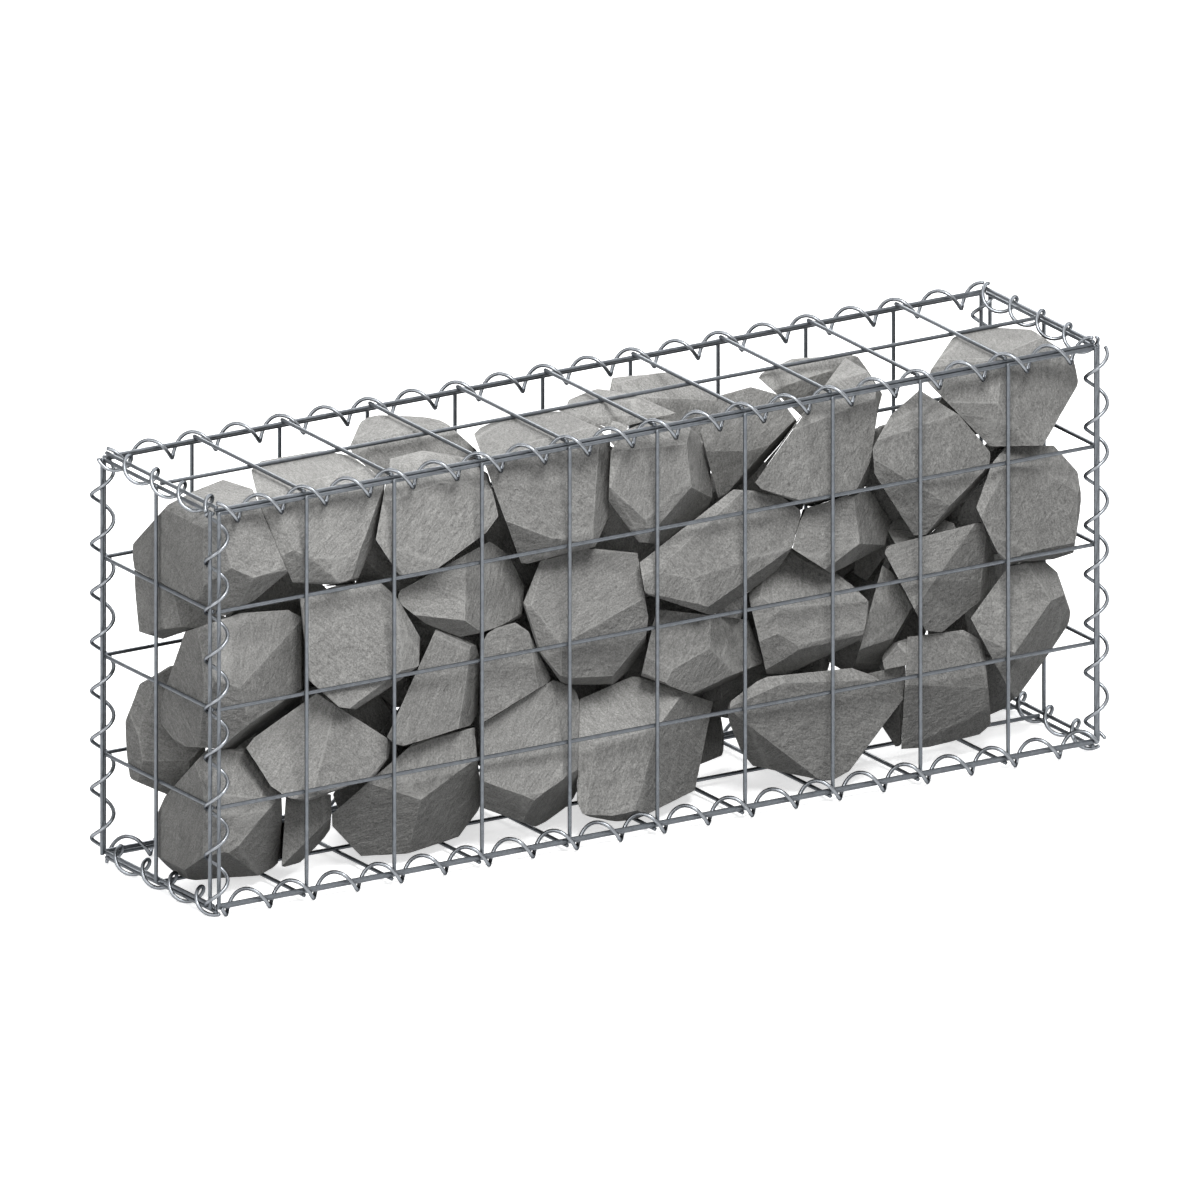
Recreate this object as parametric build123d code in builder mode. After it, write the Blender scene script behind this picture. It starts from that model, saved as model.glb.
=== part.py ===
from build123d import *
import os
from math import cos, pi, radians, sin, sqrt

# Welded mesh basket, in millimetres
MESH = 100.0
CELLS_LONG = 10
CELLS_DEEP = 2
CELLS_HIGH = 4
WIRE = 4.0
WIRE_SIDES = 6
WELD_SINK = 0.25
STUB = 2.5
SEAT = 0.3

# Spiral binders that lace the panels together along every edge
SPIRAL_WIRE = 3.4
SPIRAL_OUTER = 25.0
SPIRAL_PITCH = 50.0
SPIRAL_SIDES = 4
SPIRAL_STEPS = 6

# Sizes that follow from the wire and the mesh
FLATS = WIRE * cos(pi / WIRE_SIDES)
LAYER = FLATS - WELD_SINK
INSET = LAYER + (WIRE + SEAT) / sqrt(2)
INNER_STUB = WIRE / sqrt(2) - FLATS / 2
LENGTH = CELLS_LONG * MESH + 2 * INSET
WIDTH = CELLS_DEEP * MESH + 2 * INSET
HEIGHT = CELLS_HIGH * MESH + 2 * INSET
COIL = (SPIRAL_OUTER - SPIRAL_WIRE) / 2
BEND = 2 * pi / SPIRAL_STEPS
MITRE = SPIRAL_WIRE / 2 / cos(BEND / 2)
LEAN = FLATS / 2 + SEAT + MITRE
CROSS_LEAN = LEAN + COIL * (1 - cos(BEND)) * SPIRAL_STEPS / SPIRAL_PITCH * WIRE / 4
WALL = LAYER + FLATS / 2 + SEAT
FOOT = CROSS_LEAN + SPIRAL_WIRE / 2
MIDDLE = FOOT + HEIGHT / 2

# Photograph pixels: the near bottom corner, and the steps along length, depth and height
CORNER_PX = (213.5, 914.4)
LENGTH_PX = (887.9, -167.8)
DEPTH_PX = (-114.7, -57.3)
HEIGHT_PX = (0.0, -404.3)

# Stone shaping: length of the blanks, lean of the back slopes in degrees, and swell of the outlines
BLANK = 4 * MESH
BACK_SLOPE = 38
SWELL_SHARE = 1.04
REAR_SHARE = 1.06

os.makedirs("parts", exist_ok=True)


# Mesh panels

def mesh_panel(name, plane, cells_across, cells_up):
    """Weld one flat panel: outer wires run along the plane's Y, inner wires along its X."""
    across = cells_across * MESH
    up = cells_up * MESH
    outer = Plane(plane.from_local_coords((0, -up / 2 - STUB, 0)), x_dir=plane.x_dir, z_dir=plane.y_dir)
    inner_start = plane.from_local_coords((-across / 2 - INNER_STUB, 0, -LAYER))
    inner = Plane(inner_start, x_dir=plane.y_dir, z_dir=plane.x_dir)
    with BuildPart() as panel:
        with BuildSketch(outer):
            with GridLocations(MESH, MESH, cells_across + 1, 1):
                RegularPolygon(WIRE / 2, WIRE_SIDES)
        extrude(amount=up + 2 * STUB)
        with BuildSketch(inner):
            with GridLocations(MESH, MESH, cells_up + 1, 1):
                RegularPolygon(WIRE / 2, WIRE_SIDES)
        extrude(amount=across + 2 * INNER_STUB)
    panel.part.label = name
    export_step(panel.part, f"parts/{name}.step")


PANELS = {
    "front_mesh": (Plane((0, -WIDTH / 2, MIDDLE), (1, 0, 0), (0, -1, 0)), CELLS_LONG, CELLS_HIGH),
    "back_mesh": (Plane((0, WIDTH / 2, MIDDLE), (-1, 0, 0), (0, 1, 0)), CELLS_LONG, CELLS_HIGH),
    "left_end_mesh": (Plane((-LENGTH / 2, 0, MIDDLE), (0, -1, 0), (-1, 0, 0)), CELLS_DEEP, CELLS_HIGH),
    "right_end_mesh": (Plane((LENGTH / 2, 0, MIDDLE), (0, 1, 0), (1, 0, 0)), CELLS_DEEP, CELLS_HIGH),
    "lid_mesh": (Plane((0, 0, FOOT + HEIGHT), (1, 0, 0), (0, 0, 1)), CELLS_LONG, CELLS_DEEP),
    "bottom_mesh": (Plane((0, 0, FOOT), (-1, 0, 0), (0, 0, -1)), CELLS_LONG, CELLS_DEEP),
}
for panel_name, (panel_plane, panel_across, panel_up) in PANELS.items():
    mesh_panel(panel_name, panel_plane, panel_across, panel_up)


# Spiral binders

def spiral_binder(name, start, axis, bearing, lead_share, cells):
    """Coil a right-handed spiral whose strand crosses the bearing side at each station plus its lead."""
    start = Vector(start)
    axis = Vector(axis)
    side = Vector(bearing).normalized()
    across = axis.cross(side)
    step = SPIRAL_PITCH / SPIRAL_STEPS
    lead = lead_share * SPIRAL_PITCH
    run = cells * MESH
    first = int(-lead // step) + 1
    bends = [lead + step * i for i in range(first, first + int(run / step) + 1)]
    bends = [travel for travel in bends if step / 4 < travel < run - step / 4]
    points = []
    for travel in [0, *bends, run]:
        turn = 2 * pi * (travel - lead) / SPIRAL_PITCH
        points.append(start + axis * travel + side * (COIL * cos(turn)) + across * (COIL * sin(turn)))
    with BuildPart() as spiral:
        with BuildLine() as path:
            Polyline(*points)
        with BuildSketch(Plane(path.line @ 0, z_dir=path.line % 0)):
            RegularPolygon(SPIRAL_WIRE / 2, SPIRAL_SIDES)
        sweep(transition=Transition.RIGHT)
    spiral.part.label = name
    export_step(spiral.part, f"parts/{name}.step")


# Each spiral leans on the outermost wires of its edge, and the bottom four share one height
END_X = LENGTH / 2
END_Y = WIDTH / 2
TOP = FOOT + HEIGHT
FIRST_X = INSET - END_X
FIRST_Y = INSET - END_Y
FIRST_Z = FOOT + INSET
LOW = FOOT - CROSS_LEAN + COIL
HIGH = TOP + CROSS_LEAN - COIL
PAIR = (INSET + LAYER) / 2
UPRIGHT = (COIL - WIRE / 2 - SEAT - MITRE) / sqrt(2)
NEAR_UPRIGHT = INSET - UPRIGHT
EDGE_CLEAR = COIL + MITRE + SEAT + (COIL - LEAN) * sqrt(2)

X_WAY = (1, 0, 0)
Y_WAY = (0, 1, 0)
Z_WAY = (0, 0, 1)
DOWN = (0, 0, -1)
OVER = COIL - CROSS_LEAN

# Start, axis, bearing side, lead as a share of the pitch, and length in mesh cells
SPIRALS = {
    "spiral_front_top": ((FIRST_X, PAIR - END_Y, HIGH), X_WAY, Z_WAY, 0, CELLS_LONG),
    "spiral_back_top": ((FIRST_X, END_Y - PAIR, HIGH), X_WAY, Z_WAY, 0, CELLS_LONG),
    "spiral_front_bottom": ((FIRST_X, OVER - END_Y, LOW), X_WAY, (0, -1, 0), 0, CELLS_LONG),
    "spiral_back_bottom": ((FIRST_X, END_Y - PAIR, LOW), X_WAY, DOWN, 0, CELLS_LONG),
    "spiral_left_top": ((OVER - END_X, FIRST_Y, TOP - INSET / 2), Y_WAY, (-1, 0, 0), 0, CELLS_DEEP),
    "spiral_right_top": ((END_X - INSET, FIRST_Y, HIGH), Y_WAY, Z_WAY, -0.07, CELLS_DEEP),
    "spiral_left_bottom": ((INSET - END_X, FIRST_Y, LOW), Y_WAY, DOWN, 0.08, CELLS_DEEP),
    "spiral_right_bottom": ((END_X - INSET, FIRST_Y, LOW), Y_WAY, DOWN, 0.13, CELLS_DEEP),
    "spiral_front_left": (
        (UPRIGHT - END_X, NEAR_UPRIGHT - END_Y, FIRST_Z), Z_WAY, (-1, 1, 0), 0, CELLS_HIGH),
    "spiral_front_right": (
        (END_X - UPRIGHT, NEAR_UPRIGHT - END_Y, FIRST_Z), Z_WAY, (1, 1, 0), 0.11, CELLS_HIGH),
    "spiral_back_left": (
        (NEAR_UPRIGHT - END_X, END_Y - UPRIGHT, FIRST_Z), Z_WAY, (1, 1, 0), 0, CELLS_HIGH),
    "spiral_back_right": (
        (END_X - UPRIGHT, END_Y - NEAR_UPRIGHT, FIRST_Z), Z_WAY, (1, -1, 0), 0, CELLS_HIGH),
}
for spiral_name, spiral_sizes in SPIRALS.items():
    spiral_binder(spiral_name, *spiral_sizes)


# Fill stones

def at_pixel(pixel, depth_share):
    """Point that a photograph pixel shows at a share of the basket's depth behind its front."""
    length_share = (pixel[0] - CORNER_PX[0] - DEPTH_PX[0] * depth_share) / LENGTH_PX[0]
    rise = pixel[1] - CORNER_PX[1] - LENGTH_PX[1] * length_share - DEPTH_PX[1] * depth_share
    x = LENGTH * length_share - LENGTH / 2
    y = WIDTH * depth_share - WIDTH / 2
    return Vector(x, y, FOOT + HEIGHT * rise / HEIGHT_PX[1])


SIGHT = (at_pixel(CORNER_PX, 1) - at_pixel(CORNER_PX, 0)).normalized()


def on_face(pixel, face):
    """Point where the sight line of a photograph pixel meets a face."""
    origin, normal = face
    start = at_pixel(pixel, 0)
    return start + SIGHT * ((origin - start).dot(normal) / SIGHT.dot(normal))


def crease_face(parent, start_px, end_px, fold):
    """Face that turns away from its parent on the right of a crease walked from start to end."""
    start = on_face(start_px, parent)
    walk = (on_face(end_px, parent) - start).normalized()
    normal = parent[1]
    return start, normal * cos(radians(fold)) + walk.cross(normal) * sin(radians(fold))


def stone_shape(depth_shares, turn, outline_px, creases):
    """Outline corners, facets and side faces of one stone, from its look in the photograph."""
    near_share, girth_share, far_share = depth_shares
    yaw, pitch = (radians(angle) for angle in turn)
    count = len(outline_px)
    middle_px = (sum(p[0] for p in outline_px) / count, sum(p[1] for p in outline_px) / count)
    looks = Vector(sin(yaw) * cos(pitch), -cos(yaw) * cos(pitch), sin(pitch))
    facets = [(at_pixel(middle_px, near_share), looks)]
    for start_px, end_px, fold, *parent in creases:
        facets.append(crease_face(facets[parent[0] if parent else 0], start_px, end_px, fold))
    middle = at_pixel(middle_px, girth_share)
    corners = [middle + (at_pixel(corner_px, girth_share) - middle) * SWELL_SHARE for corner_px in outline_px]
    sides = [(at_pixel(middle_px, far_share), SIGHT)]
    for i, corner in enumerate(corners):
        wall = (corners[i - 1] - corner).cross(SIGHT).normalized()
        if wall.dot(corner - middle) < 0:
            wall = -wall
        sides.append((corner, wall))
        if i % 3 == 0:
            lean = radians(BACK_SLOPE)
            sides.append((corner, wall * cos(lean) + SIGHT * sin(lean)))
    return corners, facets, sides


def turned_shape(shape, shift_px):
    """The same stone turned end for end through the middle of the basket's depth, and shifted."""
    corners, facets, sides = shape
    front = facets[0][0]
    middle = front + SIGHT * (-front.Y / SIGHT.Y)
    moved_px = (CORNER_PX[0] + shift_px[0], CORNER_PX[1] + shift_px[1])
    home = middle + at_pixel(moved_px, 0) - at_pixel(CORNER_PX, 0)

    def turned(faces):
        return [(home - (origin - middle) * REAR_SHARE, -normal) for origin, normal in faces]

    return [home - (corner - middle) * REAR_SHARE for corner in corners], turned(facets), turned(sides)


def basket_faces():
    """Faces that the fill stays behind: the six panels, and a bevel clear of each edge's spiral."""
    centre = Vector(0, 0, MIDDLE)
    half = (END_X, END_Y, HEIGHT / 2)
    ways = [Vector(1, 0, 0), Vector(0, 1, 0), Vector(0, 0, 1)]
    sides = [(way * sign, half[i]) for i, way in enumerate(ways) for sign in (-1, 1)]
    faces = [(centre + way * (size - WALL), way) for way, size in sides]
    for i, (way, size) in enumerate(sides):
        for other, other_size in sides[i + 1:]:
            if way.dot(other) == 0:
                bevel = (way + other).normalized()
                corner = centre + way * size + other * other_size
                faces.append((corner - bevel * EDGE_CLEAR, bevel))
    return faces


BASKET_FACES = basket_faces()


def reach(points, face):
    """How far points stand out past a face."""
    origin, normal = face
    return max(Vector(point).dot(normal) for point in points) - origin.dot(normal)


def clearance(points, face):
    """How far points stay clear in front of a face."""
    origin, normal = face
    return min(Vector(point).dot(normal) for point in points) - origin.dot(normal)


def gap_of(choice):
    """Gap in a pair of gap and face."""
    return choice[0]


def apart(box, other):
    """True where two bounding boxes are clear of each other."""
    return any(
        low > other_high + SEAT or other_low > high + SEAT
        for low, high, other_low, other_high in zip(box.min, box.max, other.min, other.max)
    )


def parting_face(points, faces, sides, laid_sides, laid_points):
    """Face along which a new stone gives way least to one already laid, or None if they are clear."""
    laid_gap, laid_face = max(((clearance(points, face), face) for face in laid_sides), key=gap_of)
    if laid_gap > SEAT / 2 or any(clearance(laid_points, face) > SEAT / 2 for face in faces):
        return None
    own_gap, own_face = max(((clearance(laid_points, face), face) for face in sides), key=gap_of)
    if own_gap > laid_gap:
        return own_face[0] + own_face[1] * (own_gap - SEAT), own_face[1]
    return laid_face[0] + laid_face[1] * SEAT, -laid_face[1]


def lay_stone(shape, laid_stones):
    """Extrude a stone's outline, then split off its facets and what would run into its neighbours."""
    corners, facets, sides = shape
    faces = facets + sides + BASKET_FACES
    outline = Plane(corners[0], z_dir=SIGHT)
    flat_corners = [outline.to_local_coords(corner) for corner in corners]
    with BuildPart() as stone:
        with BuildSketch(outline):
            Polygon(*[(corner.X, corner.Y) for corner in flat_corners], align=None)
        extrude(amount=BLANK, both=True)
        points = stone.part.vertices()
        for face in faces:
            if reach(points, face) > SEAT / 2:
                split(bisect_by=Plane(face[0], z_dir=face[1]), keep=Keep.BOTTOM)
                points = stone.part.vertices()
        for laid_box, laid_sides, laid_points in laid_stones:
            if apart(stone.part.bounding_box(), laid_box):
                continue
            face = parting_face(points, faces, sides, laid_sides, laid_points)
            if face:
                faces.append(face)
                sides.append(face)
                split(bisect_by=Plane(face[0], z_dir=face[1]), keep=Keep.BOTTOM)
                points = stone.part.vertices()
    laid_stones.append((stone.part.bounding_box(), sides, points))
    return stone.part


# Stones in the order they are laid: near, girth and far depth shares, turn in degrees (right, up),
# outline pixels, then creases as two pixels, the fold in degrees and the face folded from
STONES = {
    "stone_02": ((0.08, 0.62, 0.76), (2, 14), [
        (254, 472), (264, 463), (320, 453), (350, 458), (383, 482), (382, 492), (374, 536),
        (356, 578), (330, 582), (294, 580), (262, 505)], [
        ((292, 549), (346, 577), 46), ((351, 576), (382, 491), 48), ((383, 487), (275, 502), 56),
        ((266, 478), (294, 550), 42)]),
    "stone_01": ((0.05, 0.76, 0.98), (8, 12), [
        (135, 545), (170, 506), (195, 493), (223, 482), (251, 491), (271, 510), (296, 562),
        (254, 597), (224, 613), (136, 567)], [
        ((224, 563), (254, 577), 50), ((254, 577), (296, 565), 45), ((211, 513), (213, 561), 75),
        ((267, 510), (213, 506), 40), ((170, 506), (173, 569), 20, 3)]),
    "stone_27": ((0.08, 0.58, 0.86), (12, 16), [
        (205, 752), (248, 752), (279, 792), (280, 815), (276, 862), (254, 883), (243, 887),
        (188, 877), (160, 865), (159, 817), (170, 792)], [
        ((187, 785), (209, 849), 62), ((226, 858), (270, 808), 38), ((265, 800), (190, 790), 22),
        ((160, 865), (212, 854), 60, 1), ((212, 854), (226, 858), 70)]),
    "stone_11": ((0.08, 0.54, 0.84), (0, 22), [
        (187, 634), (240, 616), (286, 613), (299, 620), (299, 700), (280, 739), (235, 747),
        (181, 744), (164, 722), (163, 703)], [
        ((194, 637), (191, 679), 52), ((191, 679), (240, 685), 38), ((240, 685), (296, 620), 32),
        ((228, 742), (251, 723), 45, 2)]),
    "stone_03": ((0.06, 0.30, 0.52), (4, 8), [
        (388, 462), (427, 452), (461, 458), (486, 475), (496, 516), (484, 532), (433, 570),
        (402, 575), (377, 537), (373, 524)], [
        ((480, 469), (441, 483), 48), ((441, 483), (391, 481), 52), ((391, 487), (397, 571), 26)]),
    "stone_08": ((0.07, 0.28, 0.52), (6, 6), [
        (920, 393), (958, 417), (989, 454), (986, 473), (977, 511), (947, 532), (907, 533),
        (877, 476), (875, 449), (885, 424)], [
        ((944, 413), (885, 434), 36), ((951, 505), (986, 469), 52), ((877, 461), (951, 506), 34)]),
    "stone_05": ((0.07, 0.28, 0.52), (2, 10), [
        (613, 452), (628, 432), (660, 420), (683, 425), (701, 440), (713, 485), (715, 512),
        (707, 528), (655, 541), (640, 540), (611, 500)], [
        ((611, 488), (654, 528), 48), ((654, 528), (691, 487), 46), ((691, 487), (687, 444), 44),
        ((687, 444), (623, 450), 46), ((623, 450), (611, 487), 24)]),
    "stone_12": ((0.06, 0.28, 0.52), (0, 8), [
        (300, 600), (338, 588), (380, 585), (397, 601), (418, 638), (417, 665), (392, 684),
        (356, 707), (340, 705), (309, 677)], [
        ((354, 706), (392, 682), 48), ((309, 602), (309, 672), 24), ((402, 650), (392, 596), 18)]),
    "stone_15": ((0.06, 0.28, 0.52), (4, 12), [
        (730, 492), (751, 493), (780, 499), (799, 513), (790, 548), (772, 574),
        (713, 613), (694, 607), (648, 592), (643, 562), (667, 541)], [
        ((647, 589), (712, 602), 52), ((712, 602), (789, 550), 54), ((742, 492), (717, 515), 28)]),
    "stone_14": ((0.07, 0.28, 0.52), (-4, 18), [
        (543, 563), (591, 551), (639, 556), (645, 573), (648, 607), (642, 654), (631, 673),
        (596, 698), (575, 697), (541, 651), (526, 604)], [
        ((571, 640), (645, 598), 28), ((543, 566), (531, 606), 36), ((531, 606), (562, 645), 46),
        ((574, 678), (613, 676), 50, 1), ((613, 676), (641, 641), 38, 1)]),
    "stone_26": ((0.08, 0.30, 0.55), (6, 10), [
        (249, 748), (285, 701), (309, 684), (326, 690), (389, 730), (386, 757), (371, 777),
        (312, 801), (290, 796), (273, 785)], [
        ((333, 716), (314, 790), 24), ((314, 797), (368, 779), 50), ((386, 731), (320, 695), 14)]),
    "stone_13": ((0.10, 0.30, 0.54), (-2, 12), [
        (402, 603), (398, 583), (440, 560), (485, 541), (514, 561), (525, 593), (523, 616),
        (482, 631), (459, 636), (430, 625)], [
        ((422, 616), (478, 622), 54), ((480, 620), (480, 567), 32)]),
    "stone_06": ((0.30, 0.52, 0.78), (8, 14), [
        (694, 440), (722, 397), (751, 389), (775, 396), (795, 422), (760, 470), (746, 484),
        (716, 499), (702, 470)], [
        ((705, 451), (751, 451), 28), ((718, 497), (790, 425), 56)]),
    "stone_07": ((0.08, 0.60, 0.74), (14, 4), [
        (757, 483), (767, 494), (803, 507), (868, 487), (876, 470), (884, 416), (880, 398),
        (866, 374), (844, 360)], [
        ((794, 432), (780, 482), 30), ((778, 484), (801, 504), 50), ((874, 398), (795, 430), 42),
        ((857, 489), (884, 434), 38)]),
    "stone_04": ((0.08, 0.62, 0.76), (4, 10), [
        (466, 447), (486, 427), (516, 418), (560, 414), (596, 430), (612, 448), (610, 508),
        (592, 547), (583, 566), (514, 559), (500, 540)], [
        ((496, 516), (553, 538), 44), ((553, 538), (596, 541), 40), ((592, 541), (598, 440), 34),
        ((600, 441), (478, 463), 54)]),
    "stone_19": ((0.09, 0.30, 0.54), (4, 8), [
        (363, 711), (395, 640), (408, 612), (474, 647), (479, 665), (475, 722),
        (404, 744), (396, 742)], [
        ((459, 725), (470, 660), 34), ((468, 650), (420, 628), 20)]),
    "stone_31": ((0.09, 0.33, 0.62), (-2, 6), [
        (583, 698), (631, 677), (672, 690), (716, 706), (724, 716), (722, 745),
        (697, 787), (629, 821), (586, 813), (580, 799)], [
        ((713, 713), (590, 745), 38), ((632, 820), (656, 745), 24), ((701, 774), (713, 716), 42, 2),
        ((588, 760), (583, 813), 46)]),
    "stone_30": ((0.08, 0.30, 0.56), (2, 18), [
        (486, 724), (553, 683), (574, 691), (586, 728), (590, 742), (586, 764),
        (571, 801), (538, 825), (485, 806), (482, 775)], [
        ((488, 783), (534, 800), 62), ((534, 800), (586, 764), 58), ((567, 775), (552, 687), 22)]),
    "stone_29": ((0.09, 0.32, 0.58), (-2, 12), [
        (335, 801), (396, 748), (474, 730), (483, 754), (488, 783),
        (474, 815), (450, 851), (365, 858), (336, 830)], [
        ((431, 804), (471, 819), 42), ((382, 850), (431, 804), 40), ((351, 813), (366, 858), 40)]),
    "stone_21": ((0.09, 0.30, 0.54), (-4, 16), [
        (650, 615), (677, 606), (744, 614), (762, 664), (758, 680), (746, 707),
        (719, 711), (674, 703), (632, 679)], [
        ((673, 669), (710, 644), 28), ((711, 644), (709, 618), 32), ((656, 661), (673, 669), 18),
        ((674, 702), (729, 677), 48, 1)]),
    "stone_16": ((0.10, 0.28, 0.50), (6, 14), [
        (790, 545), (800, 512), (840, 495), (868, 488), (892, 513), (880, 571), (852, 585)], [
        ((831, 567), (860, 544), 50), ((860, 544), (854, 498), 34), ((860, 544), (884, 549), 46, 2)]),
    "stone_22": ((0.10, 0.30, 0.54), (2, 10), [
        (746, 608), (752, 594), (790, 549), (832, 572), (853, 588), (867, 602), (866, 617),
        (860, 639), (840, 657), (763, 681)], [
        ((859, 602), (774, 608), 38), ((776, 610), (778, 634), 38), ((778, 634), (802, 648), 40),
        ((802, 648), (860, 635), 54)]),
    "stone_32": ((0.08, 0.33, 0.60), (2, -4), [
        (730, 705), (732, 722), (744, 751), (757, 767), (817, 779), (832, 778), (847, 770),
        (900, 699), (871, 678), (840, 667), (782, 673), (759, 683)], [
        ((744, 722), (817, 778), 52), ((872, 680), (784, 683), 44), ((784, 683), (746, 700), 40)]),
    "stone_23": ((0.20, 0.40, 0.58), (6, 8), [
        (879, 565), (896, 578), (916, 617), (900, 642), (868, 676), (845, 665), (852, 632),
        (866, 585)], [
        ((859, 650), (897, 636), 52), ((897, 636), (915, 613), 50)]),
    "stone_17": ((0.08, 0.28, 0.52), (-2, 14), [
        (896, 517), (935, 507), (974, 513), (979, 519), (1001, 565), (993, 586), (981, 598),
        (942, 630), (925, 628), (913, 613), (883, 556)], [
        ((921, 600), (976, 523), 28), ((980, 598), (985, 545), 22, 1)]),
    "stone_18": ((0.05, 0.24, 0.52), (4, 6), [
        (1053, 448), (1076, 473), (1080, 499), (1072, 551), (1045, 560), (1008, 561), (981, 532),
        (977, 511), (993, 466), (1007, 449)], [
        ((1077, 491), (1040, 469), 34), ((1040, 469), (1008, 465), 36), ((1006, 467), (981, 517), 28),
        ((988, 541), (1010, 559), 40), ((1010, 558), (1072, 547), 56)]),
    "stone_33": ((0.09, 0.33, 0.60), (4, 12), [
        (871, 674), (897, 643), (920, 630), (951, 626), (981, 643), (984, 661), (988, 694),
        (990, 722), (978, 733), (929, 745), (888, 748), (867, 746)], [
        ((878, 722), (922, 712), 42), ((922, 712), (959, 738), 42), ((926, 689), (986, 694), 24)]),
    "stone_24": ((0.05, 0.26, 0.52), (-2, 14), [
        (997, 569), (1007, 565), (1043, 563), (1059, 577), (1071, 603), (1067, 624), (1045, 657),
        (1018, 694), (1004, 703), (992, 690), (957, 625)], [
        ((958, 626), (1015, 653), 40), ((1015, 653), (1051, 601), 40), ((1051, 601), (1029, 567), 28)]),
    "stone_09": ((0.06, 0.60, 0.80), (8, 14), [
        (977, 329), (1031, 332), (1072, 360), (1076, 381), (1074, 392), (1051, 449),
        (1039, 462), (990, 460), (927, 395), (934, 371), (955, 340)], [
        ((1072, 367), (1005, 367), 44), ((1005, 369), (997, 411), 28), ((997, 411), (1040, 452), 48),
        ((1040, 451), (1074, 392), 58)]),
    "stone_20": ((0.12, 0.32, 0.54), (8, 10), [
        (478, 655), (490, 632), (514, 624), (535, 634), (554, 674), (539, 704), (486, 725),
        (476, 722)], [
        ((540, 700), (530, 640), 26)]),
    "stone_10": ((0.44, 0.82, 0.97), (-14, 6), [
        (136, 566), (137, 592), (141, 633), (168, 642), (181, 644), (229, 632), (240, 610),
        (222, 580), (170, 555)], [
        ((160, 566), (180, 627), 40), ((180, 627), (230, 633), 60), ((141, 632), (181, 627), 56, 1)]),
    "stone_25": ((0.66, 0.88, 0.98), (-24, 14), [
        (142, 682), (169, 668), (200, 672), (206, 720), (203, 762), (176, 791), (169, 793),
        (131, 777), (128, 749), (127, 722)], [
        ((150, 695), (131, 760), 40), ((131, 761), (203, 762), 38)]),
    "stone_28": ((0.24, 0.55, 0.90), (4, 8), [
        (278, 790), (335, 797), (336, 824), (320, 842), (300, 862), (285, 866),
        (274, 862)], [
        ((288, 860), (322, 826), 48)]),
    "stone_34": ((0.56, 0.64, 0.86), (10, -8), [
        (1046, 655), (1046, 669), (1032, 691), (1012, 704), (991, 717), (978, 690), (1006, 642)], [
        ((992, 712), (1040, 672), 30)]),
    "stone_37": ((0.42, 0.62, 0.86), (-6, 24), [
        (567, 395), (575, 387), (610, 391), (640, 398), (676, 414), (688, 428), (644, 440),
        (600, 424), (568, 406)], [
        ((676, 414), (592, 411), 30), ((576, 394), (590, 425), 34)]),
    "stone_36": ((0.66, 0.80, 0.96), (4, 18), [
        (609, 402), (615, 376), (663, 372), (691, 384), (716, 398), (704, 440), (630, 440)], [
        ((690, 396), (620, 398), 34), ((619, 380), (617, 420), 30)]),
    "stone_38": ((0.50, 0.72, 0.96), (6, 20), [
        (752, 392), (764, 374), (793, 360), (855, 356), (866, 371), (880, 394), (868, 440),
        (795, 430)], [
        ((845, 372), (780, 384), 26), ((866, 400), (850, 366), 34)]),
    "stone_35": ((0.56, 0.74, 0.96), (0, 18), [
        (352, 447), (366, 415), (385, 411), (425, 413), (445, 424), (474, 450), (478, 470),
        (430, 480), (384, 478), (356, 456)], [
        ((440, 432), (376, 434), 34), ((372, 420), (362, 470), 36)]),
    "stone_39": ((0.26, 0.38, 0.54), (-20, -4), [
        (866, 668), (904, 660), (908, 742), (890, 751), (866, 751), (856, 742)], [
        ((866, 736), (900, 730), 40)]),
}

# Rear stones: the front stone that each repeats, and its shift in pixels
REAR_STONES = {
    "rear_01": ("stone_02", (60, 55)),
    "rear_02": ("stone_03", (50, 45)),
    "rear_03": ("stone_04", (55, 45)),
    "rear_04": ("stone_05", (65, 45)),
    "rear_05": ("stone_07", (35, 45)),
    "rear_06": ("stone_08", (60, 40)),
    "rear_07": ("stone_09", (-10, 25)),
    "rear_08": ("stone_22", (33, 10)),
    "rear_09": ("stone_12", (-95, -15)),
    "rear_10": ("stone_12", (45, -5)),
    "rear_11": ("stone_13", (50, 25)),
    "rear_12": ("stone_14", (50, 20)),
    "rear_13": ("stone_15", (40, 30)),
    "rear_14": ("stone_16", (28, 22)),
    "rear_15": ("stone_17", (35, 25)),
    "rear_16": ("stone_26", (3, -37)),
    "rear_17": ("stone_19", (40, 0)),
    "rear_18": ("stone_21", (45, -5)),
    "rear_19": ("stone_33", (5, -37)),
    "rear_20": ("stone_29", (-20, -46)),
    "rear_21": ("stone_30", (10, -35)),
    "rear_22": ("stone_31", (-10, -35)),
}

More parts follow.
